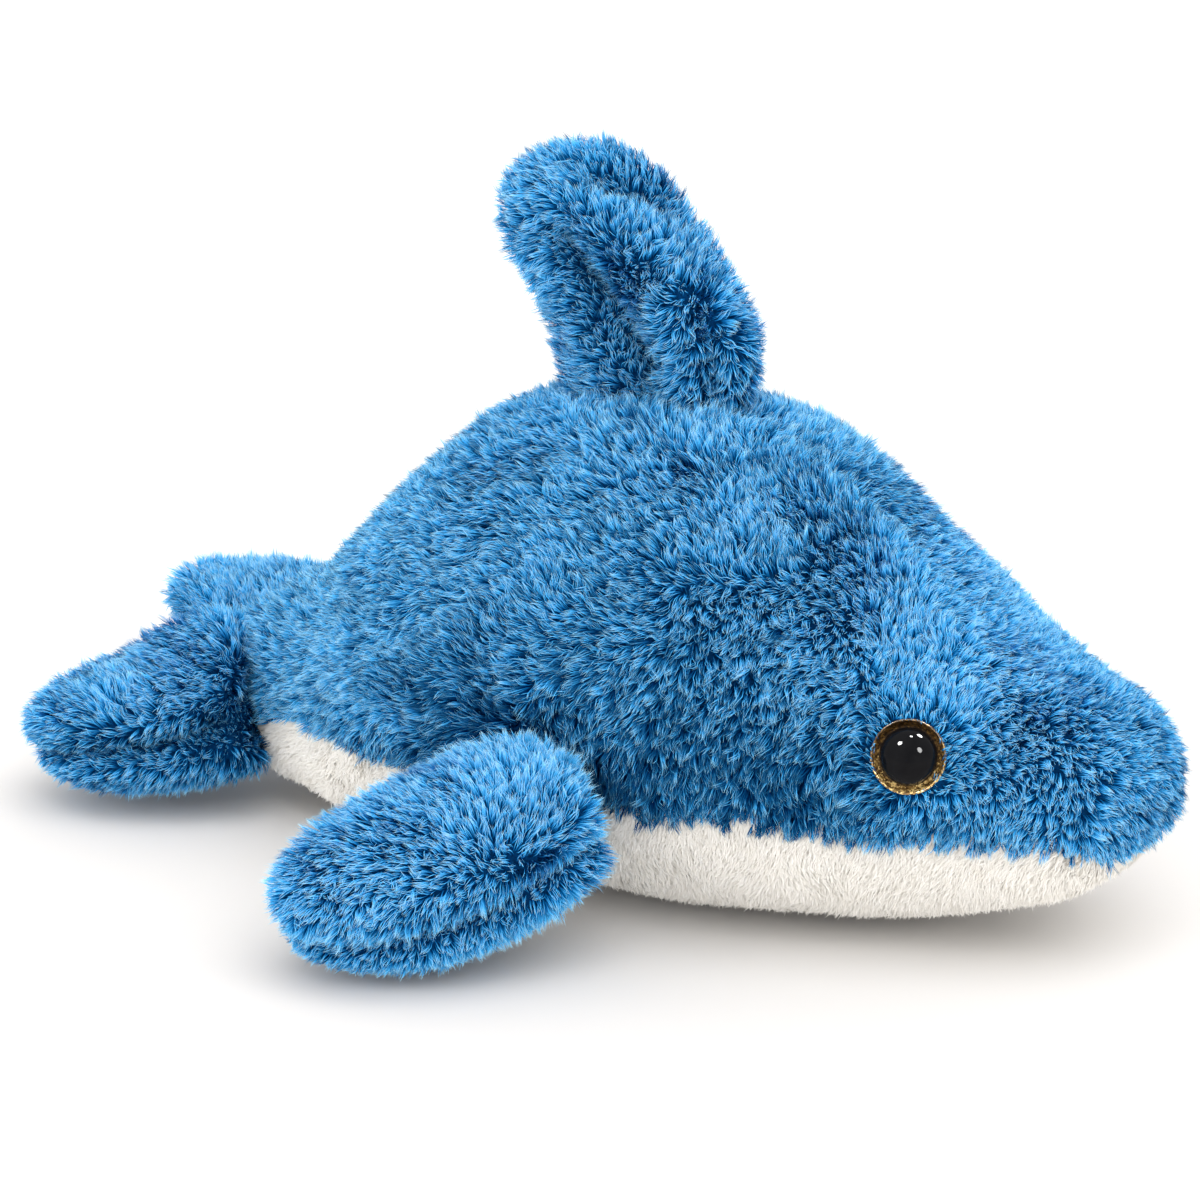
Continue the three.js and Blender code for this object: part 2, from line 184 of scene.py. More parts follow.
def noise(points, size, seed, waves=24):
    """Smooth noise, mostly from -1 to 1, in lumps of about the given size."""
    source = np.random.default_rng(seed)
    ways = unit(source.normal(size=(waves, 3)))
    pitch = 2 * math.pi / (size * source.uniform(1.2, 2.6, (waves, 1)))
    phase = source.uniform(0, 2 * math.pi, waves)
    return np.sin(points @ (ways * pitch).T + phase).sum(1) / math.sqrt(waves)


def tree_of(names):
    points, faces = [], []
    for name in names:
        mesh = nodes[name].data
        base = len(points)
        points += [vertex.co.copy() for vertex in mesh.vertices]
        faces += [[base + v for v in polygon.vertices] for polygon in mesh.polygons]
    return BVHTree.FromPolygons(points, faces)


def distances(tree, points):
    return np.array([tree.find_nearest(Vector(point))[3] for point in points])


def inside(tree, spot):
    """Whether a point is inside a closed mesh, by how often a line from it crosses the mesh."""
    way = Vector((0.3, 0.2, 0.93))
    crossings = 0
    place = tree.ray_cast(spot, way)[0]
    while place:
        crossings += 1
        place = tree.ray_cast(place + way * 0.01 * MM, way)[0]
    return crossings % 2 == 1


def from_line(points, line):
    """Least distance of points from a line of straight stretches."""
    nearest = np.full(len(points), np.inf)
    for start, end in zip(line, line[1:]):
        way = end - start
        share = np.clip((points - start) @ way / (way @ way), 0, 1)
        nearest = np.minimum(nearest, np.linalg.norm(points - start - share[:, None] * way, axis=1))
    return nearest


def new_object(name, mesh):
    made = bpy.data.objects.new(name, mesh)
    bpy.context.scene.collection.objects.link(made)
    return made


def evaluated_mesh(obj):
    depsgraph = bpy.context.evaluated_depsgraph_get()
    return bpy.data.meshes.new_from_object(obj.evaluated_get(depsgraph))


# Materials

def principled(name, roughness, **sockets):
    material = bpy.data.materials.new(name)
    material.use_nodes = True
    shader = material.node_tree.nodes["Principled BSDF"]
    shader.inputs["Roughness"].default_value = roughness
    for socket, value in sockets.items():
        shader.inputs[socket.replace("_", " ")].default_value = value
    return material, shader


def color_ramp(tree, stops):
    ramp = tree.nodes.new("ShaderNodeValToRGB")
    elements = ramp.color_ramp.elements
    while len(elements) < len(stops):
        elements.new(1)
    for element, (place, color) in zip(elements, stops):
        element.position = place
        element.color = (*color, 1)
    return ramp


def pile_material(name, root_shade_to_tip_sheen, tints):
    """Colour runs from root to tip along a strand, from painted shade at the root to a painted sheen at the tip,
    and each strand has a tint of its own, which also carries painted light and shade by place.
    """
    material, shader = principled(name, 0.8, Specular_IOR_Level=0)
    tree = material.node_tree
    place = tree.nodes.new("ShaderNodeUVMap")
    place.uv_map = "OFBake"
    split = tree.nodes.new("ShaderNodeSeparateXYZ")
    along = color_ramp(tree, root_shade_to_tip_sheen)
    tint = color_ramp(tree, tints)
    mix = tree.nodes.new("ShaderNodeMix")
    mix.data_type = "RGBA"
    mix.blend_type = "MULTIPLY"
    mix.inputs["Factor"].default_value = 1
    tree.links.new(place.outputs["UV"], split.inputs["Vector"])
    tree.links.new(split.outputs["X"], tint.inputs["Fac"])
    tree.links.new(split.outputs["Y"], along.inputs["Fac"])
    tree.links.new(along.outputs["Color"], mix.inputs["A"])
    tree.links.new(tint.outputs["Color"], mix.inputs["B"])
    tree.links.new(mix.outputs["Result"], shader.inputs["Base Color"])
    return material


def grained_material(name, roughness, stops, grain, depth, **sockets):
    """A material whose colour runs through the given tones in fine grains, with a bump of the same grain."""
    material, shader = principled(name, roughness, **sockets)
    tree = material.node_tree
    place = tree.nodes.new("ShaderNodeTexCoord")
    grains = tree.nodes.new("ShaderNodeTexNoise")
    grains.inputs["Scale"].default_value = 1 / grain
    grains.inputs["Detail"].default_value = 3
    tones = color_ramp(tree, stops)
    bump = tree.nodes.new("ShaderNodeBump")
    bump.inputs["Distance"].default_value = depth
    tree.links.new(place.outputs["Object"], grains.inputs["Vector"])
    tree.links.new(grains.outputs["Fac"], tones.inputs["Fac"])
    tree.links.new(grains.outputs["Fac"], bump.inputs["Height"])
    tree.links.new(tones.outputs["Color"], shader.inputs["Base Color"])
    tree.links.new(bump.outputs["Normal"], shader.inputs["Normal"])
    return material


FLAKE = 0.4 * MM
RING_PAINTED_LIGHT_AND_SHADE = (0.3, -0.3)  # painted light and painted shade added to the flakes' tones at the ring's bottom and top


def glitter_material():
    """Bronze flakes under lacquer, each with its own tone and slant, with painted light on the ring's lower half
    and painted shade on its upper half.
    """
    material, shader = principled("bronze_glitter", 0.35, Metallic=0.45, Coat_Weight=0.2, Coat_Roughness=0.1)
    tree = material.node_tree
    place = tree.nodes.new("ShaderNodeTexCoord")
    flakes = tree.nodes.new("ShaderNodeTexVoronoi")
    flakes.inputs["Scale"].default_value = 1 / FLAKE
    tones = color_ramp(tree, [
        (0.1, (0.02, 0.009, 0.002)),
        (0.5, (0.1, 0.05, 0.012)),
        (0.75, (0.33, 0.19, 0.05)),
        (0.92, (0.95, 0.68, 0.27)),
    ])
    bump = tree.nodes.new("ShaderNodeBump")
    bump.inputs["Strength"].default_value = 0.8
    bump.inputs["Distance"].default_value = 0.3 * MM
    split = tree.nodes.new("ShaderNodeSeparateXYZ")
    # painted light low on the ring and painted shade high on it, by height
    shade = tree.nodes.new("ShaderNodeMapRange")
    low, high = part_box("right_eye_iris_ring")
    for socket, value in zip(("From Min", "From Max", "To Min", "To Max"), (low.z, high.z, *RING_PAINTED_LIGHT_AND_SHADE)):
        shade.inputs[socket].default_value = value
    shaded = tree.nodes.new("ShaderNodeMath")
    shaded.operation = "ADD"
    tree.links.new(place.outputs["Object"], flakes.inputs["Vector"])
    tree.links.new(place.outputs["Object"], split.inputs["Vector"])
    tree.links.new(split.outputs["Z"], shade.inputs["Value"])
    tree.links.new(flakes.outputs["Color"], shaded.inputs[0])
    tree.links.new(shade.outputs["Result"], shaded.inputs[1])
    tree.links.new(shaded.outputs["Value"], tones.inputs["Fac"])
    tree.links.new(flakes.outputs["Color"], bump.inputs["Height"])
    tree.links.new(tones.outputs["Color"], shader.inputs["Base Color"])
    tree.links.new(bump.outputs["Normal"], shader.inputs["Normal"])
    return material


# Ramps from root to tip: the dark roots are painted shade and the pale tips a painted sheen
PILE_MATERIALS = {
    BLUE.slot: pile_material(
        "blue_pile",
        [
            (0, (0.0004, 0.02, 0.075)),
            (0.42, (0.006, 0.18, 0.5)),
            (0.72, (0.08, 0.5, 0.94)),
            (1, (0.6, 0.9, 1.0)),
        ],
        [(0, (0.03, 0.14, 0.23)), (0.5, (0.66, 0.83, 0.9)), (1, (1, 1, 1))],
    ),
    WHITE.slot: pile_material(
        "white_pile",
        [(0, (0.93, 0.90, 0.84)), (0.5, (0.97, 0.945, 0.895)), (1, (0.99, 0.97, 0.925))],
        [(0, (0.93, 0.92, 0.9)), (0.5, (0.985, 0.98, 0.975)), (1, (1, 1, 1))],
    ),
}
STITCH, STITCH_DEPTH = 0.8 * MM, 0.2 * MM
SKIN_MATERIALS = {
    # the blue knit is far darker than its pile: painted shade in the gaps between tufts
    BLUE.slot: grained_material(
        "blue_knit", 0.9, [(0.3, (0.001, 0.03, 0.1)), (0.7, (0.003, 0.055, 0.18))], STITCH, STITCH_DEPTH,
        Specular_IOR_Level=0),
    WHITE.slot: grained_material(
        "white_knit", 0.9, [(0.3, (0.78, 0.75, 0.70)), (0.7, (0.88, 0.86, 0.82))], STITCH, STITCH_DEPTH,
        Specular_IOR_Level=0),
}
FIBRE = grained_material(
    "fibrefill", 1, [(0.3, (0.72, 0.72, 0.70)), (0.7, (0.92, 0.92, 0.90))], 2 * MM, 1 * MM)
MOULDED = grained_material(
    "white_plastic", 0.5, [(0.3, (0.70, 0.70, 0.69)), (0.7, (0.76, 0.76, 0.75))], 0.6 * MM, 0.02 * MM)
POLISHED = grained_material(
    "black_plastic", 0.05, [(0.3, (0.003, 0.003, 0.004)), (0.7, (0.006, 0.006, 0.007))], 4 * MM, 0,
    Specular_IOR_Level=0.09)
GLITTER = glitter_material()


# The eyes' places: their pieces are turned round a line through the iris ring and the lock washer

class Eye:
    def __init__(self, side):
        self.side = side
        self.pupil, self.ring = f"{side}_eye_pupil", f"{side}_eye_iris_ring"
        self.washer = f"{side}_eye_lock_washer"
        ring = coordinates(nodes[self.ring].data)
        self.centre = ring.mean(0)
        self.axis = unit(self.centre - coordinates(nodes[self.washer].data).mean(0))
        radius, out = self.measure(ring)
        self.ring_radius = radius.max()
        self.back, self.front = out.min(), out.max()

    def measure(self, points):
        """Distance of points from the eye's axis, and how far out along it they are."""
        offset = points - self.centre
        out = offset @ self.axis
        return np.linalg.norm(offset - out[..., None] * self.axis, axis=-1), out

    def clear(self, lines, overlap):
        """Trims strands that reach too far over the eye, pushes them aside and lifts them onto the ring."""
        radius, out = self.measure(lines)
        reached = np.flatnonzero(((radius < self.ring_radius) & (np.abs(out) < 2 * self.ring_radius)).any(1))
        edge = self.ring_radius - overlap[reached, None]
        kept = lines[reached]
        for _ in range(EYE_CUTS):
            over = (self.measure(kept)[0] < edge).any(1)
            kept[over] = kept[over, :1] + (kept[over] - kept[over, :1]) * EYE_CUT
        radius, out = self.measure(kept)
        aside = unit(kept - self.centre - out[..., None] * self.axis)
        kept += aside * np.maximum(edge - radius, 0)[..., None]
        radius, out = self.measure(kept)
        under = np.maximum(self.front + RIM_LIFT - out, 0) * np.sqrt(np.linspace(0, 1, STRAND_STEPS))
        lift = under * (1 - smoothstep(self.ring_radius, self.ring_radius + RIM_MARGIN, radius))
        lines[reached] = kept + self.axis * lift[..., None]


eyes = [Eye("right"), Eye("left")]


# Skin: the CAD panels of one stuffed form wrapped from outside, drawn in under the pile and puffed up

def ring_round(tree, centre, across, up):
    """Points where rays from all round meet the solids, none of them in a plane along which panels part."""
    points = []
    for k in range(RING_SIDES):
        angle = 2 * math.pi * (k + 0.5) / RING_SIDES
        way = across * math.cos(angle) + up * math.sin(angle)
        points.append(tree.ray_cast(centre + way * FAR, -way, FAR)[0] or centre)
    return points


def loft(rings, first, last):
    """Closed mesh over rings of points, with a single point at either end."""
    points = [first, last] + [point for ring in rings for point in ring]
    faces = []
    end = 2 + (len(rings) - 1) * RING_SIDES
    for k in range(RING_SIDES):
        after = (k + 1) % RING_SIDES
        faces += [(0, 2 + after, 2 + k), (1, end + k, end + after)]
        for low in range(2, end, RING_SIDES):
            high = low + RING_SIDES
            faces.append((low + k, low + after, high + after, high + k))
    mesh = bpy.data.meshes.new("loft")
    mesh.from_pydata(points, [], faces)
    return mesh


def even_and_smooth(mesh):
    rough = new_object("rough", mesh)
    remesh = rough.modifiers.new("even", "REMESH")
    remesh.mode = "VOXEL"
    remesh.voxel_size = VOXEL
    smooth = rough.modifiers.new("smooth", "SMOOTH")
    smooth.iterations = SMOOTHING
    fine = evaluated_mesh(rough)
    bpy.data.objects.remove(rough)
    return fine


def relax(mesh, loose, rounds=80):
    """Draws the loose part of a mesh taut between the rest."""
    points, pairs = coordinates(mesh), edges(mesh)
    count = np.bincount(pairs.ravel(), minlength=len(points))[:, None]
    for _ in range(rounds):
        total = np.zeros_like(points)
        np.add.at(total, pairs[:, 0], points[pairs[:, 1]])
        np.add.at(total, pairs[:, 1], points[pairs[:, 0]])
        points[loose] = (total / count)[loose]
    set_coordinates(mesh, points)


def puff(mesh, pinned):
    """The cloth swollen by its stuffing, held along its seams."""
    rest = coordinates(mesh)
    skin = new_object("puffing", mesh)
    seam = skin.vertex_groups.new(name="seam")
    seam.add([int(i) for i in pinned], 1, "REPLACE")
    cloth = skin.modifiers.new("stuffing", "CLOTH")
    settings = cloth.settings
    settings.vertex_group_mass = "seam"
    settings.use_pressure = True
    settings.uniform_pressure_force = PRESSURE
    settings.effector_weights.gravity = 0
    for step in range(1, PUFF_FRAMES + 1):
        bpy.context.scene.frame_set(step)
    swollen = coordinates(evaluated_mesh(skin))
    bpy.data.objects.remove(skin)
    bpy.context.scene.frame_set(1)
    move = swollen - rest
    far = np.linalg.norm(move, axis=1, keepdims=True)
    set_coordinates(mesh, rest + move * np.minimum(1, PUFF_CAP / np.maximum(far, 1e-9)))


class Skin:
    """Skin of one stuffed form: its mesh, which panel each vertex belongs to and how far off the seam is."""

    def __init__(self, kind, panels, mesh, sinks, folds=()):
        self.panels = panels
        self.mesh = mesh
        outside = coordinates(mesh)
        away = np.stack([distances(tree_of([panel]), outside) for panel in panels])
        self.owner = away.argmin(0)
        nearest = np.sort(away, axis=0)
        self.from_seam = nearest[1] - nearest[0]
        sink = np.array(sinks)[self.owner] + PUFF_CAP / 2
        sink += FURROWS[kind] * np.exp(-(self.from_seam / SEAM_WIDTH) ** 2)
        sink += LUMP_DEPTH * noise(outside, LUMP_SIZE, SEED + 5)
        held = self.from_seam < SEAM_WIDTH / 2
        self.pinch = TRIMS[kind] * np.exp(-(self.from_seam / SEAM_WIDTH) ** 2)
        for fold in folds:
            off = from_line(outside, np.array(fold.line) * MM) / (fold.width * MM)
            sink += fold.depth * MM * np.exp(-off ** 2)
            if fold.trim:
                held |= off < 0.5
                self.pinch = np.maximum(self.pinch, fold.trim * np.exp(-off ** 2))
        for eye in eyes:
            radius, out = eye.measure(outside)
            beside = np.where(out > -EYE_DEPTH, radius, FAR)
            far = smoothstep(eye.ring_radius, eye.ring_radius + SEAT_MARGIN, beside)
            sink = sink * far + (out - eye.back + SEAT_CLEARANCE) * (1 - far)
            held |= beside < eye.ring_radius + MM
        set_coordinates(mesh, outside - vertex_normals(mesh) * sink[:, None])
        puff(mesh, np.flatnonzero(held))
        self.cover = np.full(len(outside), FAR)

    def tree(self):
        faces = [polygon.vertices[:] for polygon in self.mesh.polygons]
        return BVHTree.FromPolygons([vertex.co.copy() for vertex in self.mesh.vertices], faces)

    def covered_by(self, other):
        """Notes how far each vertex is outside another skin; inside it is below zero."""
        tree = other.tree()
        theirs, mine = coordinates(other.mesh), coordinates(self.mesh)
        near = ((mine > theirs.min(0)) & (mine < theirs.max(0))).all(1)
        for i in np.flatnonzero(near):
            spot = Vector(mine[i])
            far = tree.find_nearest(spot)[3]
            self.cover[i] = min(self.cover[i], -far if inside(tree, spot) else far)

    def panel(self, index, name):
        """The part of the skin that one panel makes, as an object."""
        mesh = self.mesh
        faces = [p.vertices[:] for p in mesh.polygons if self.owner[p.vertices[0]] == index]
        used = sorted({v for face in faces for v in face})
        place = {v: i for i, v in enumerate(used)}
        points = coordinates(mesh)[used]
        part = bpy.data.meshes.new(name)
        part.from_pydata(points, [], [[place[v] for v in face] for face in faces])
        part.shade_smooth()
        return new_object(name, part)

    def roots(self, index, density):
        """Points spread evenly at random over one panel, each with the way out, the trim and the cover."""
        mesh = self.mesh
        mesh.calc_loop_triangles()
        corners = np.empty(len(mesh.loop_triangles) * 3, int)
        mesh.loop_triangles.foreach_get("vertices", corners)
        corners = corners.reshape(-1, 3)
        corners = corners[self.owner[corners[:, 0]] == index]
        points, normals = coordinates(mesh), vertex_normals(mesh)
        a, b, c = (points[corners[:, k]] for k in range(3))
        areas = np.linalg.norm(np.cross(b - a, c - a), axis=1) / 2
        count = int(areas.sum() * density)
        chosen = corners[rng.choice(len(corners), count, p=areas / areas.sum())]
        share = rng.dirichlet((1, 1, 1), count)
        bare = (self.cover[chosen] * share).sum(1) > COVERED
        for eye in eyes:
            radius, out = eye.measure((points[chosen] * share[:, :, None]).sum(1))
            bare &= (radius > eye.ring_radius - MM) | (out < -EYE_DEPTH)
        chosen, share = chosen[bare], share[bare, :, None]
        pinch, cover = ((values[chosen] * share[..., 0]).sum(1) for values in (self.pinch, self.cover))
        return (points[chosen] * share).sum(1), unit((normals[chosen] * share).sum(1)), pinch, cover


@dataclass(frozen=True)
class Fold:
    """A dent in a stuffed form along a line, or with a depth below zero a ridge; millimetres."""

    line: tuple
    depth: float
    width: float
    trim: float = 0  # share of the pile's length lost in a crease, which also sets the painted shade there


# Pile: every strand a tapered ribbon that curves over into the way it is combed

@dataclass
class Lay:
    """How the pile lies at each root."""

    ways: np.ndarray
    lean: np.ndarray  # degrees on top of the pile's own
    length: np.ndarray  # share of the full length
    tone: np.ndarray  # how much lighter it is, which carries painted light and painted shade


@dataclass(frozen=True)
class Spread:
    """How strands differ from the lay at random: way and lean in degrees, length as a share."""

    way: float
    length: float
    lean: float


STRANDS = Spread(24, 0.18, 14)
TUFTS = Spread(30, 0.2, 16)
LENGTHS = (0.55, 1.4)  # limits of a strand's share of the length
LEANS = (10, 105)


def turned(ways, normals, angles):
    """Ways in the cloth's plane turned about the way out of it."""
    across = np.cross(normals, ways)
    return ways * np.cos(angles)[:, None] + across * np.sin(angles)[:, None]


def strand_lines(roots, normals, ways, pile, lengths, leans):
    """Points along each strand: it leaves the cloth near upright and bends over by its lean."""
    first, last = np.radians(pile.root_lean), np.radians(leans)[:, None]
    start = normals * np.cos(first) + ways * np.sin(first)
    end = normals * np.cos(last) + ways * np.sin(last)
    t = np.linspace(0, 1, STRAND_STEPS)[None, :, None]
    path = start[:, None] * (t - t * t / 2) + end[:, None] * (t * t / 2)
    return roots[:, None] + path * lengths[:, None, None]


def comb(roots, normals, lay, pile):
    """Lines of all strands of one panel, combed along the lay and gathered in tufts."""
    ways = unit(lay.ways - normals * dot(lay.ways, normals))

    def uneven(drift, seed):
        amount, size = drift
        return amount * noise(roots, size, seed)

    drift = uneven(WIDE_DRIFT, SEED + 1) + uneven(FINE_DRIFT, SEED + 2)
    ways = turned(ways, normals, np.radians(drift))
    lean = pile.tip_lean + lay.lean + uneven(LEAN_DRIFT, SEED + 3)
    count = len(roots)

    tufts = rng.choice(count, max(1, int(count / (pile.density * pile.tuft ** 2))), replace=False)
    finder = KDTree(len(tufts))
    for i, tuft in enumerate(tufts):
        finder.insert(roots[tuft], i)
    finder.balance()
    home = np.array([finder.find(root)[1] for root in roots])

    def grown(picked, spread):
        size = len(picked)
        way = turned(ways[picked], normals[picked], np.radians(spread.way) * rng.normal(size=size))
        share = np.clip(1 + spread.length * rng.normal(size=size), *LENGTHS)
        leans = np.clip(lean[picked] + spread.lean * rng.normal(size=size), *LEANS)
        lengths = pile.length * lay.length[picked] * share
        return strand_lines(roots[picked], normals[picked], way, pile, lengths, leans)

    own = grown(np.arange(count), STRANDS)
    spines = grown(tufts, TUFTS)[home]
    offset = (roots - roots[tufts[home]])[:, None]
    t = np.linspace(0, 1, STRAND_STEPS)[None, :, None]
    tuft_line = spines + offset * (1 - TUFT_DRAW * t)
    held = pile.gather * t ** GATHER_CURVE
    lines = own * (1 - held) + tuft_line * held
    frizz = rng.normal(size=lines.shape) * FRIZZ * t
    tint = 0.5 + TINT_SPREAD * rng.normal(size=count) + TUFT_TINT_SPREAD * rng.normal(size=len(tufts))[home]
    # the lay's tone adds painted light and shade by place
    tint += lay.tone + uneven(TINT_DRIFT, SEED + 4)
    return lines + frizz, np.clip(tint, 0.01, 0.99)


def ribbons(name, lines, normals, tint, pile):
    """Mesh of strands: pairs of points that taper to one at the tip."""
    count, steps = lines.shape[:2]
    along = unit(np.gradient(lines, axis=1))
    flat = unit(np.cross(along, normals[:, None]))
    roll = np.radians(np.clip(ROLL * rng.normal(size=count), -ROLL_LIMIT, ROLL_LIMIT))[:, None, None]
    side = flat * np.cos(roll) + np.cross(along, flat) * np.sin(roll)
    taper = np.interp(np.linspace(0, 1, steps), *TAPER)
    half = side * (pile.width / 2 * taper)[None, :, None]
    pairs = np.stack([lines - half, lines + half], axis=2)[:, :-1].reshape(count, -1, 3)
    points = np.concatenate([pairs, lines[:, -1:]], axis=1)
    points[..., 2] = np.maximum(points[..., 2], FLOOR_CLEARANCE)

    each = 2 * steps - 1
    quads = [(2 * i, 2 * i + 1, 2 * i + 3, 2 * i + 2) for i in range(steps - 2)]
    loop = np.array([v for quad in quads for v in quad] + [each - 3, each - 2, each - 1])
    sizes = [4] * len(quads) + [3]
    starts = np.cumsum([0] + sizes[:-1])
    corners = (np.arange(count)[:, None] * each + loop).ravel()
    polygon_starts = (np.arange(count)[:, None] * len(loop) + starts).ravel()

    mesh = bpy.data.meshes.new(name)
    mesh.vertices.add(count * each)
    mesh.vertices.foreach_set("co", points.astype(np.float32).ravel())
    mesh.loops.add(len(corners))
    mesh.loops.foreach_set("vertex_index", corners.astype(np.int32))
    mesh.polygons.add(len(polygon_starts))
    mesh.polygons.foreach_set("loop_start", polygon_starts.astype(np.int32))
    mesh.update(calc_edges=True)
    mesh.shade_smooth()

    spread = np.where(np.arange(each) % 2 == 0, -0.5, 0.5) * TINT_WIDTH
    spread[-1] = 0
    height = np.append(np.repeat(np.linspace(0, 1, steps)[:-1], 2), 1)
    places = np.empty((count, len(loop), 2), np.float32)
    places[..., 0] = tint[:, None] + spread[loop]
    places[..., 1] = height[loop]
    mesh.uv_layers.new(name="OFBake").data.foreach_set("uv", places.ravel())
    mesh.validate()
    out = vertex_normals(mesh) * (1 - pile.as_cloth) + np.repeat(normals, each, axis=0) * pile.as_cloth
    mesh.normals_split_custom_set_from_vertices(unit(out))
    return new_object(name, mesh)


def grow(skin, index, pile, lay):
    """Pile of one panel, in pieces of limited size from the tail to the nose."""
    name = skin.panels[index].replace("panel", "pile")
    roots, normals, pinch, cover = skin.roots(index, pile.density)
    combed = lay(roots)
    combed.length *= 1 - pinch
    # painted shade in seams, creases and where skins touch
    combed.tone -= SEAM_PAINTED_SHADE * pinch + CONTACT_PAINTED_SHADE * (1 - smoothstep(0, CONTACT_REACH, cover))
    lines, tint = comb(roots, normals, combed, pile)
    overlap = np.minimum(rng.exponential(EYE_OVERLAP, len(lines)), OVERLAP_LIMIT)
    for eye in eyes:
        eye.clear(lines, overlap)
    order = np.argsort(roots[:, 0])
    chunks = np.array_split(order, math.ceil(len(order) / PIECE_STRANDS))
    made = []
    for number, chunk in enumerate(chunks, 1):
        title = name if len(chunks) == 1 else f"{name}_{number}"
        fur = ribbons(title, lines[chunk], normals[chunk], tint[chunk], pile)
        fur.data.materials.append(PILE_MATERIALS[pile.slot])
        made.append(fur)
    return made


def sew(skin, index, pile):
    """Cloth of one panel."""
    node = skin.panels[index]
    cloth = skin.panel(index, node.replace("panel", "skin"))
    cloth.data.materials.append(SKIN_MATERIALS[pile.slot])
    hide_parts(node)
    return cloth


# Body

BODY_PANELS = ["right_side_panel", "left_side_panel", "belly_panel"]
BODY_PILES = [BLUE, BLUE, WHITE]
BODY_RINGS = 90
END_MARGIN = 0.13  # of a half turn, by which the first and last rings keep off the ends
BODY_FOLDS = [
    Fold(((78, 15, 83), (90, 14, 74), (97, 13, 68.5)), 2, 15),
    *(Fold(((-80, side * 16, 10), (-70, side * 19, 8), (-56, side * 24, 7)), -4, 12) for side in (-1, 1)),
]

# Comb of the sides
PARTING = np.array((44, 36, 86)) * MM  # from where the pile of the left side is combed, mirrored on the right
PARTING_REACH = 30 * MM
SIDE_WAVER, SIDE_WAVER_SIZE = 0.6, 34 * MM
OVER_RIDGE = 0.25  # to the left
BACKWARDS = 0.3  # behind the head
DOWNWARDS = 1.2  # above the belly
SWEEP = 0.55  # to the left on the left of the forehead
EYE_REACH = 7 * MM  # how far round an eye the pile is trimmed
EYE_TRIM = 0.75  # share of the length kept at the eye's rim
HEAD_TRIM, HEM_TRIM = 0.21, 0.3  # share of the length lost on the snout, and at its hem
BACK_HEM = 0.3  # share of the hem's trim that is kept behind the snout

# Zones of the sides, in millimetres along an axis: where each begins and where it is full
HEAD = (85, 125)
FOREHEAD = (30, 50)
FORWARD = (50, 90)
BROW, BROW_HEIGHT = (55, 95), (48, 62)
CROWN_HEIGHT = (85, 105)
FLANK, FLANK_END, FLANK_TOP = (-40, 10), (75, 105), (40, 80)
LOW_TOP, HEM_TOP = (30, 50), (30, 38)
RIDGE_SIDE = (4, 42)
SWEEP_SIDE = (0, 12)
# How much lighter the pile is there: painted light on the brow and crown, painted shade on the flank
BROW_PAINTED_LIGHT, HEAD_TONE, CROWN_PAINTED_LIGHT, FLANK_PAINTED_SHADE, SIDE_TONE = 0.45, 0.1, 0.08, -0.46, -0.02
# How many degrees more it leans
BROW_LEAN, LOW_LEAN, PARTING_LEAN = 10, -6, -6


def past(zone, places):
    """How far places are into a zone, from 0 before it to 1 beyond it."""
    begin, full = zone
    return smoothstep(begin * MM, full * MM, places)


def body_skin():
    """Skin round the body's panels, drawn taut behind the eyes."""
    tree = tree_of(BODY_PANELS)
    low, high = (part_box("right_side_panel")[k].x for k in range(2))
    beside_seam = 2 * MM
    forward, across, up = Vector((1, 0, 0)), Vector((0, 1, 0)), Vector((0, 0, 1))
    rings = []
    for turn_along in np.linspace(END_MARGIN, math.pi - END_MARGIN, BODY_RINGS):
        share = (1 - math.cos(turn_along)) / 2
        place = Vector((low + (high - low) * share, beside_seam, 0))
        top = tree.ray_cast(place + up * FAR, -up)[0]
        bottom = tree.ray_cast(place - up * FAR, up)[0]
        rings.append(ring_round(tree, Vector((place.x, 0, (top.z + bottom.z) / 2)), across, up))
    ends = [sum(ring, Vector()) / RING_SIDES for ring in (rings[0], rings[-1])]
    tail = tree.ray_cast(ends[0] + across * beside_seam - forward * FAR, forward)[0]
    nose = tree.ray_cast(ends[1] + across * beside_seam + forward * FAR, -forward)[0]
    mesh = even_and_smooth(loft(rings, tail, nose))
    points = coordinates(mesh)
    for eye in eyes:
        radius, out = eye.measure(points)
        relax(mesh, (radius < eye.ring_radius + 2 * VOXEL) & (out > -EYE_DEPTH))
    return Skin("body", BODY_PANELS, mesh, [pile.sink for pile in BODY_PILES], BODY_FOLDS)


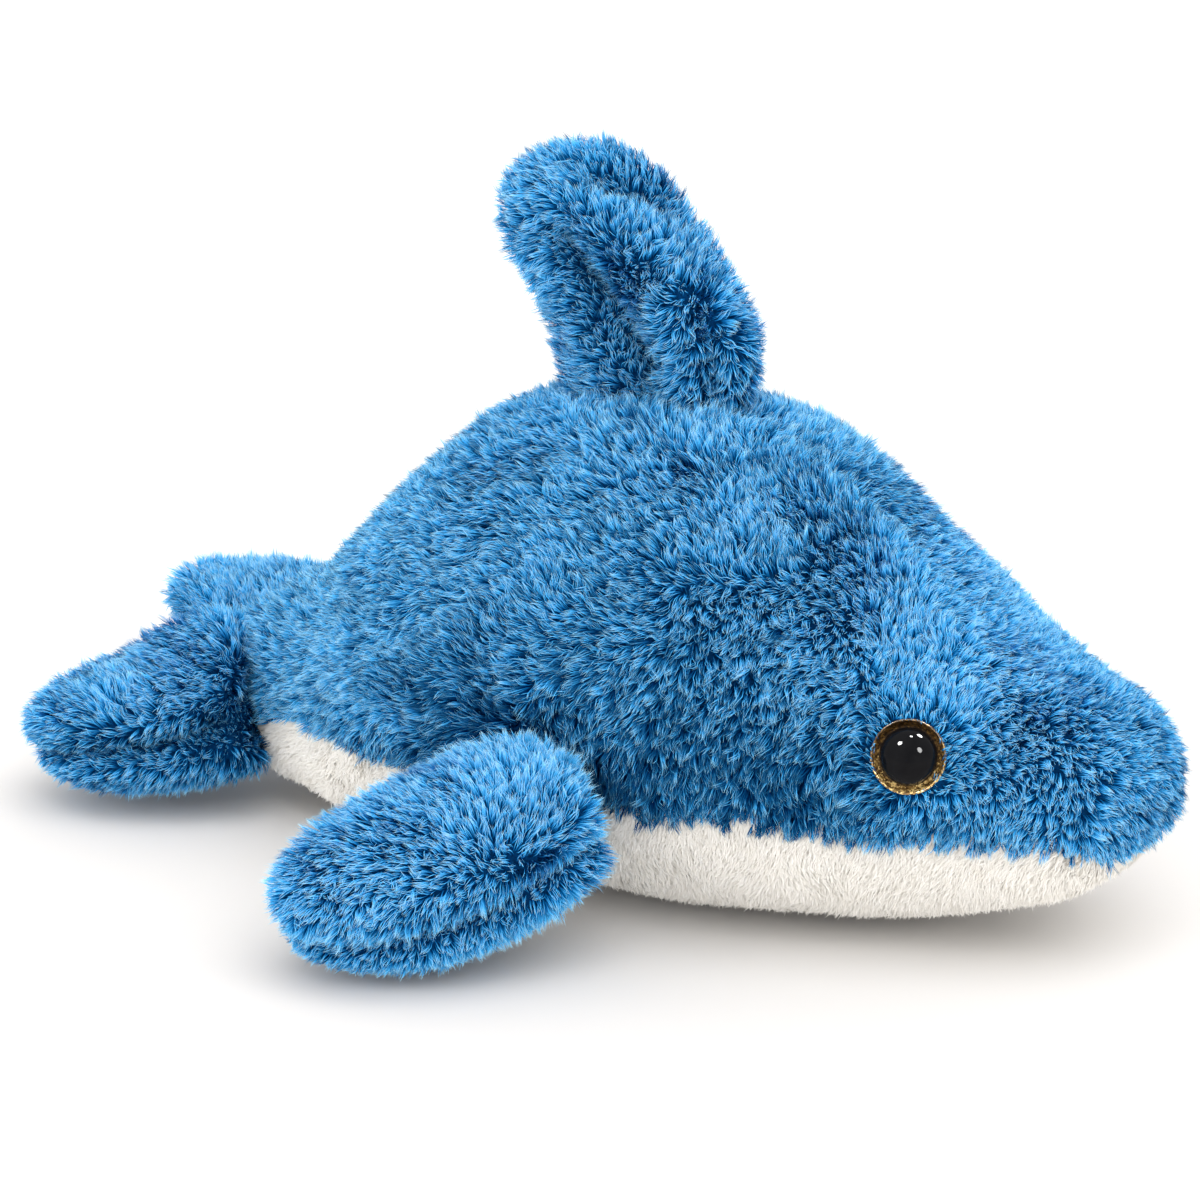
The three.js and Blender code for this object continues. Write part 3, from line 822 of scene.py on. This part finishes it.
def side_lay(points):
    """The pile lies away from each side's parting, over the ridge to the left, and down above the belly."""
    x, y, z = points.T
    side = np.sign(points[:, 1:2])
    offset = points - PARTING * np.hstack([np.ones_like(side), side, np.ones_like(side)])
    far = np.linalg.norm(offset, axis=1, keepdims=True)
    low = 1 - past(LOW_TOP, z)
    ways = offset / (far + PARTING_REACH)
    waver = [noise(points, SIDE_WAVER_SIZE, SEED + 20 + k) for k in range(3)]
    ways += SIDE_WAVER * np.stack(waver, axis=1)
    sweep = SWEEP * past(FOREHEAD, x)
    from_ridge = past(RIDGE_SIDE, np.abs(y))
    over_ridge = np.maximum(OVER_RIDGE, sweep * past(SWEEP_SIDE, y))
    sideways = np.where(y > 0, np.maximum(ways[:, 1], sweep), ways[:, 1])
    ways[:, 1] = sideways * from_ridge + over_ridge * (1 - from_ridge)
    ways[:, 0] -= BACKWARDS * (1 - past(FORWARD, x))
    ways[:, 2] -= DOWNWARDS * low

    head = past(HEAD, x)
    hem = (1 - past(HEM_TOP, z)) * (BACK_HEM + (1 - BACK_HEM) * head)
    length = 1 - np.maximum(HEM_TRIM * hem, HEAD_TRIM * head)
    for eye in eyes:
        radius, _ = eye.measure(points)
        near = 1 - smoothstep(eye.ring_radius, eye.ring_radius + EYE_REACH, radius)
        length -= (1 - EYE_TRIM) * near

    brow = past(BROW, x) * past(BROW_HEIGHT, z)
    flank = past(FLANK, x) * (1 - past(FLANK_END, x)) * (1 - past(FLANK_TOP, z))
    parting = np.exp(-(far[:, 0] / PARTING_REACH) ** 2)
    lean = BROW_LEAN * brow + LOW_LEAN * low + PARTING_LEAN * parting
    # painted light on the brow and crown and painted shade on the flank; the head a little lighter and the whole
    # side a little darker
    tone = BROW_PAINTED_LIGHT * brow + HEAD_TONE * head + CROWN_PAINTED_LIGHT * past(CROWN_HEIGHT, z) + FLANK_PAINTED_SHADE * flank
    return Lay(ways, lean, length, tone + SIDE_TONE)


BELLY_WAY = (-0.4, 0.3, -1)  # back, towards the middle and down
BELLY_MIDDLE = 20 * MM  # half of the width over which the way turns from side to side


def belly_lay(points):
    """The pile lies down and back, and from either side towards the middle."""
    count = len(points)
    ways = np.tile(np.array(BELLY_WAY, float), (count, 1))
    ways[:, 1] *= -np.clip(points[:, 1] / BELLY_MIDDLE, -1, 1)
    return Lay(ways, np.zeros(count), np.ones(count), np.zeros(count))


def dress_body(skin):
    for index, (pile, lay) in enumerate(zip(BODY_PILES, (side_lay, side_lay, belly_lay))):
        for piece in [sew(skin, index, pile), *grow(skin, index, pile, lay)]:
            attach(piece, "body")


# Limbs: they bend on the hinge line at their root

ROOT_FULL = 12 * MM  # from here outwards the solid has its full section, which the cloth keeps into the body
ROOT_DEPTH = 16 * MM  # of the rounded end inside the body
ROOT_GIRTH = {"fin": 0.95, "flipper": 0.7, "fluke": 1.0}  # share of the full section at the root
LIMB_PAINTED_LIGHT = {"fin": 0.2, "flipper": 0.45, "fluke": 0.24}  # painted light: how much lighter the pile is than on the body
LIMB_RINGS = 30
LAST_RING = 1.3  # radians of the quarter turn that spaces the rings closer towards the tip
ROOT_RINGS, NECK_RINGS = 8, 5
FOLDS = {
    "dorsal_fin": [
        Fold(
            ((-4, -15, 144), (2, -15.5, 137), (8, -15, 129), (13, -14, 122), (16, -13, 117), (17, -10, 110)),
            7, 5, 0.5),
        Fold(((0, -14, 150), (21, -13, 138), (27, -12, 127)), -2.5, 7),
        Fold(((31, -9, 128), (33, -9, 121), (33, -8, 113)), 3.5, 3.5, 0.5),
        Fold(((18, 0, 152), (11, -5, 156), (4, -10, 156)), 4, 4, 0.5),
        Fold(((-6, 0, 163), (4, 3, 160), (11, 2, 157)), -3, 8),
        Fold(((-22, 0, 156), (-12, 0, 162)), 2.5, 8),
        Fold(((-20, -6, 149), (-19, -6, 142)), -2, 7),
        Fold(((37, 0, 122), (39, 0, 112)), -3, 6),
    ],
    "right_flipper": [Fold(((41, -71, 34), (41, -70, 27)), -3, 8)],
    "right_fluke": [
        Fold(((-84, -8, 46), (-96, -12, 44), (-106, -18, 41)), -5, 10),
        Fold(((-121, -31, 33), (-106, -25, 38)), 1.6, 8),
        Fold(((-131, -42, 22), (-126, -50, 18)), -1.6, 9),
    ],
    "left_fluke": [Fold(((-116, 9, 34), (-128, 15, 35), (-136, 26, 37)), -4, 9)],
}
PARTINGS = {
    "fin": np.array((22, 0, 133)) * MM,
    "flipper": np.array((33, 93, 30)) * MM,
    "fluke": np.array((-76, 8, 34)) * MM,
}
LIMB_PARTING_REACH = 10 * MM
OUTWARDS = 0.3  # along the limb
LIMB_WAVER, LIMB_WAVER_SIZE = 0.35, 20 * MM
LIMB_LEAN = -3
PRESSED_TOP = (4, 18)  # millimetres over which the pile is shorter towards the floor
PRESSED_TRIM = 0.35


class Limb:
    """A fin, flipper or fluke: its skin, its hinge line and how its pile lies."""

    def __init__(self, name):
        self.name = name
        self.kind = name.split("_")[1]
        self.panels = [node for node in bodies[name] if node.endswith("panel")]
        self.hinge = Vector(joints[name]["pos_m"])
        self.chord = Vector(joints[name]["axis"]).normalized()
        points = np.concatenate([coordinates(nodes[panel].data) for panel in self.panels])
        offset = Vector(points.mean(0)) - self.hinge
        self.span = (offset - self.chord * offset.dot(self.chord)).normalized()
        out = (points - self.hinge) @ np.array(self.span)
        self.tip, self.reach = Vector(points[out.argmax()]), out.max()
        self.side = math.copysign(1, self.hinge.y) if self.hinge.y else 0
        self.skin = Skin(self.kind, self.panels, self.wrap(), [BLUE.sink] * 2, FOLDS.get(name, ()))

    def wrap(self):
        """Mesh round the limb's panels, with a rounded root that reaches into the body."""
        tree = tree_of(self.panels)
        depth = self.span.cross(self.chord)
        beside_seam = depth * MM
        rings = []
        for share in np.sin(np.linspace(0, LAST_RING, LIMB_RINGS)):
            middle = self.hinge + self.span * (ROOT_FULL + (self.reach - ROOT_FULL) * share) + beside_seam
            edges_here = [tree.ray_cast(middle + way * FAR, -way)[0] for way in (self.chord, -self.chord)]
            rings.append(ring_round(tree, sum(edges_here, Vector()) / 2 - beside_seam, self.chord, depth))
        middle = sum(rings[0], Vector()) / RING_SIDES
        start = middle - self.span * (ROOT_FULL + ROOT_DEPTH)
        root_girth = ROOT_GIRTH[self.kind]
        neck = []
        for angle in np.linspace(0, math.pi / 2, ROOT_RINGS, endpoint=False)[1:]:
            neck.append((ROOT_FULL + ROOT_DEPTH * math.cos(angle), root_girth * math.sin(angle)))
        for share in np.linspace(0, 1, NECK_RINGS, endpoint=False):
            neck.append((ROOT_FULL * (1 - share), root_girth + (1 - root_girth) * share))
        roots = []
        for shift, girth in neck:
            roots.append([middle + (point - middle) * girth - self.span * shift for point in rings[0]])
        return even_and_smooth(loft(roots + rings, start, self.tip))

    def lay(self, points):
        """The pile lies away from the limb's parting and outwards, and is shorter near the floor."""
        parting = PARTINGS[self.kind] * (1, self.side, 1)
        offset = points - parting
        far = np.linalg.norm(offset, axis=1, keepdims=True)
        ways = offset / (far + LIMB_PARTING_REACH) + OUTWARDS * np.array(self.span)
        waver = [noise(points, LIMB_WAVER_SIZE, SEED + 30 + k) for k in range(3)]
        ways += LIMB_WAVER * np.stack(waver, axis=1)
        pressed = 1 - past(PRESSED_TOP, points[:, 2])
        # painted light over the whole limb
        lean, tone = (np.full(len(points), float(value)) for value in (LIMB_LEAN, LIMB_PAINTED_LIGHT[self.kind]))
        return Lay(ways, lean, 1 - PRESSED_TRIM * pressed, tone)

    def dress(self):
        for index in range(len(self.panels)):
            for piece in [sew(self.skin, index, BLUE), *grow(self.skin, index, BLUE, self.lay)]:
                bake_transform(piece)


# Stuffing: lumps of loose fibre

FIBRE_CLEARANCE = 0.8 * MM  # under the cloth
FIBRE_VOXEL = 3 * MM
FIBRE_LUMP = 14 * MM
FIBRE_DEPTH = 1.5 * MM  # by which the lumps stand back from the CAD solid


def stuff(node, body, skin):
    """A lumpy form of one CAD stuffing, kept under the cloth that holds it."""
    lump = new_object(node.replace("stuffing", "fibre"), nodes[node].data.copy())
    remesh = lump.modifiers.new("even", "REMESH")
    remesh.mode = "VOXEL"
    remesh.voxel_size = FIBRE_VOXEL
    fine = evaluated_mesh(lump)
    lump.modifiers.clear()
    lump.data = fine
    points = coordinates(fine)
    depth = (0.6 + 0.4 * noise(points, FIBRE_LUMP, SEED + 6)) * FIBRE_DEPTH
    points -= vertex_normals(fine) * depth[:, None]
    cloth = skin.tree()
    for i, point in enumerate(points):
        place, normal, _, _ = cloth.find_nearest(Vector(point))
        if (Vector(point) - place).dot(normal) > -FIBRE_CLEARANCE:
            points[i] = place - normal * FIBRE_CLEARANCE
    set_coordinates(fine, points)
    fine.shade_smooth()
    fine.materials.clear()
    fine.materials.append(FIBRE)
    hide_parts(node)
    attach(lump, body)


# Eyes

EYE_SIDES = 96
DOME_STEPS = 24
DOME_ROUNDNESS = 0.95  # power of the dome's arc, below 1 for a fuller dome
DOME_MARGIN = 0.1 * MM  # of the dome over the CAD pupil
RING_LIP = 0.3 * MM
RING_GAP = 0.2 * MM  # between the dome and the ring's bowl
BOWL_DEPTH = 0.3 * MM  # of the bowl's inner edge behind the dome's rim
BOWL_STEPS = 9
BOWL_CURVE = 1.5  # power by which the bowl rises towards the lip


def turned_piece(name, profile, eye, material, node):
    """A profile of radius and height turned round the eye's axis."""
    turn = Vector((0, 0, 1)).rotation_difference(Vector(eye.axis)).to_matrix().to_4x4()
    place = Matrix.Translation(eye.centre) @ turn
    points, faces = [], []
    for k in range(EYE_SIDES):
        angle = 2 * math.pi * k / EYE_SIDES
        for radius, height in profile:
            points.append(place @ Vector((radius * math.cos(angle), radius * math.sin(angle), height)))
    count = len(profile)
    for k in range(EYE_SIDES):
        after = (k + 1) % EYE_SIDES
        for i in range(count - 1):
            faces.append((k * count + i, after * count + i, after * count + i + 1, k * count + i + 1))
    mesh = bpy.data.meshes.new(name)
    mesh.from_pydata(points, [], faces)
    mesh.shade_smooth()
    mesh.materials.append(material)
    piece = new_object(name, mesh)
    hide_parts(node)
    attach(piece, "body")


def dress_eye(eye):
    """Pupil and ring as finer turned pieces; the washer inside the cloth keeps its CAD form."""
    radius, out = eye.measure(coordinates(nodes[eye.pupil].data))
    dome_radius, top, end = radius.max(), out.max(), out.min()
    rim = out[radius > 0.9 * dome_radius].min()
    stem = radius[out < end + 0.1 * MM].max()
    dome_radius += DOME_MARGIN
    dome = []
    for i in range(DOME_STEPS + 1):
        angle = math.pi / 2 * i / DOME_STEPS
        across, height = math.cos(angle) ** DOME_ROUNDNESS, math.sin(angle) ** DOME_ROUNDNESS
        dome.append((dome_radius * across, rim + (top - rim) * height))
    profile = [(0, end), (stem, end), (stem, rim), *dome]
    turned_piece(f"{eye.side}_eye_dome", profile, eye, POLISHED, eye.pupil)

    radius, out = eye.measure(coordinates(nodes[eye.ring].data))
    back, front = out.min(), out.max()
    bore, edge = radius.min(), radius.max()
    seat, low = dome_radius + RING_GAP, rim - BOWL_DEPTH
    bowl = []
    for t in np.linspace(0, 1, BOWL_STEPS):
        bowl.append((seat + (edge - RING_LIP - seat) * t, low + (front - low) * t ** BOWL_CURVE))
    rim_edge = [(bore, back), (edge, back), (edge, front - RING_LIP)]
    profile = [*rim_edge, *reversed(bowl), (bore, low), (bore, back)]
    turned_piece(f"{eye.side}_eye_ring", profile, eye, GLITTER, eye.ring)

    washer = nodes[eye.washer].data
    washer.materials.clear()
    washer.materials.append(MOULDED)


# Stage: pale floor, soft light from above, and the photograph's view

FLOOR_REACH = 6
FLOOR_COLOR = (0.82, 0.797, 0.775, 1)
ROOM_LIGHT = 0.9
SUN_SPREAD = 60  # degrees
SUNS = {  # where each shines from, and its strength
    "sky": ((0.4, -0.2, 0.9), 1.25),
    "front": ((0.6, -0.75, 0.2), 1.15),
    "fill": ((-0.6, -0.8, 0.12), 1.3),
    "back": ((-0.1, 0.95, 0.25), 0.8),
}
CATCH_DISTANCE = 0.9
CATCH_LIGHTS = {  # place on the right pupil in shares of its radius, to the right and up; size and power
    "catch_left": (-0.29, 0.46, 0.19, 23),
    "catch_top": (0.12, 0.68, 0.12, 10),
    "catch_right": (0.41, 0.68, 0.24, 31),
    "catch_low": (0.4, 0.21, 0.24, 10),
}

turn, rise = math.radians(CAMERA_TURN), math.radians(CAMERA_RISE)
TO_CAMERA = Vector((math.sin(turn) * math.cos(rise), -math.cos(turn) * math.cos(rise), math.sin(rise)))


def lamp(name, kind, place, target, energy):
    light = bpy.data.lights.new(name, kind)
    light.energy = energy
    made = new_object(name, light)
    made.location = place
    made.rotation_euler = (Vector(target) - Vector(place)).to_track_quat("-Z", "Y").to_euler()
    return made


def soft_sun(name, place, energy):
    made = lamp(name, "SUN", place, (0, 0, 0), energy)
    made.data.angle = math.radians(SUN_SPREAD)
    made.visible_glossy = False


def catch_light(name, eye, aside, up, size, energy):
    """A small lamp whose reflection shows on the eye's dome, off its middle by shares of its radius."""
    right = Vector((math.cos(turn), math.sin(turn), 0))
    top = TO_CAMERA.cross(right)
    mesh = bpy.data.objects[f"{eye.side}_eye_dome"].data
    points, normals = coordinates(mesh), vertex_normals(mesh)
    radius, out = eye.measure(points)
    at_rim = radius > 0.98 * radius.max()
    dome = out > out[at_rim].min()
    middle = points[dome & at_rim].mean(0)
    seen = np.stack([(points - middle) @ np.array(way) for way in (right, top)], axis=1) / radius.max()
    off = np.linalg.norm(seen - (aside, up), axis=1)
    off[~dome | (normals @ np.array(TO_CAMERA) <= 0)] = np.inf
    spot, normal = (Vector(values[off.argmin()]) for values in (points, normals))
    way = (2 * normal.dot(TO_CAMERA)) * normal - TO_CAMERA
    made = lamp(name, "AREA", spot + way * CATCH_DISTANCE, spot, energy)
    made.data.shape = "DISK"
    made.data.size = size
    made.visible_diffuse = False


def lay_floor():
    mesh = bpy.data.meshes.new("floor")
    corners = [(-1, -1, 0), (1, -1, 0), (1, 1, 0), (-1, 1, 0)]
    mesh.from_pydata([Vector(corner) * FLOOR_REACH for corner in corners], [], [(0, 1, 2, 3)])
    material, _ = principled("floor", 0.9, Base_Color=FLOOR_COLOR, Specular_IOR_Level=0)
    mesh.materials.append(material)
    new_object("floor", mesh)


def light_room():
    """A white room that lights the toy evenly and shows as plain white."""
    world = bpy.data.worlds.new("studio")
    bpy.context.scene.world = world
    world.use_nodes = True
    tree = world.node_tree
    room = tree.nodes["Background"]
    room.inputs["Color"].default_value = (1, 1, 1, 1)
    room.inputs["Strength"].default_value = ROOM_LIGHT
    white = tree.nodes.new("ShaderNodeBackground")
    white.inputs["Color"].default_value = (1, 1, 1, 1)
    path = tree.nodes.new("ShaderNodeLightPath")
    seen = path.outputs["Is Camera Ray"]
    for ray in ("Is Glossy Ray", "Is Transmission Ray"):
        either = tree.nodes.new("ShaderNodeMath")
        either.operation = "MAXIMUM"
        tree.links.new(seen, either.inputs[0])
        tree.links.new(path.outputs[ray], either.inputs[1])
        seen = either.outputs["Value"]
    mix = tree.nodes.new("ShaderNodeMixShader")
    tree.links.new(seen, mix.inputs["Fac"])
    tree.links.new(room.outputs["Background"], mix.inputs[1])
    tree.links.new(white.outputs["Background"], mix.inputs[2])
    tree.links.new(mix.outputs["Shader"], tree.nodes["World Output"].inputs["Surface"])


def make_stage():
    lay_floor()
    light_room()
    for name, (place, strength) in SUNS.items():
        soft_sun(name, place, strength)
    for name, (aside, up, size, power) in CATCH_LIGHTS.items():
        catch_light(name, eyes[0], aside, up, size, power)
    camera = new_object("camera", bpy.data.cameras.new("camera"))
    camera.data.lens = LENS
    camera.location = CAMERA_TARGET + TO_CAMERA * CAMERA_DISTANCE
    camera.rotation_euler = (-TO_CAMERA).to_track_quat("-Z", "Y").to_euler()
    bpy.context.scene.camera = camera
    bpy.context.scene.view_settings.view_transform = "Standard"


trunk = body_skin()
limbs = [Limb(name) for name in bodies if name in joints]
for limb in limbs:
    trunk.covered_by(limb.skin)
    limb.skin.covered_by(trunk)
dress_body(trunk)
for limb in limbs:
    limb.dress()
skins = {"body": trunk} | {limb.name: limb.skin for limb in limbs}
for body, members in bodies.items():
    for node in members:
        if node.endswith("stuffing"):
            stuff(node, body, skins[body])
for eye in eyes:
    dress_eye(eye)
make_stage()
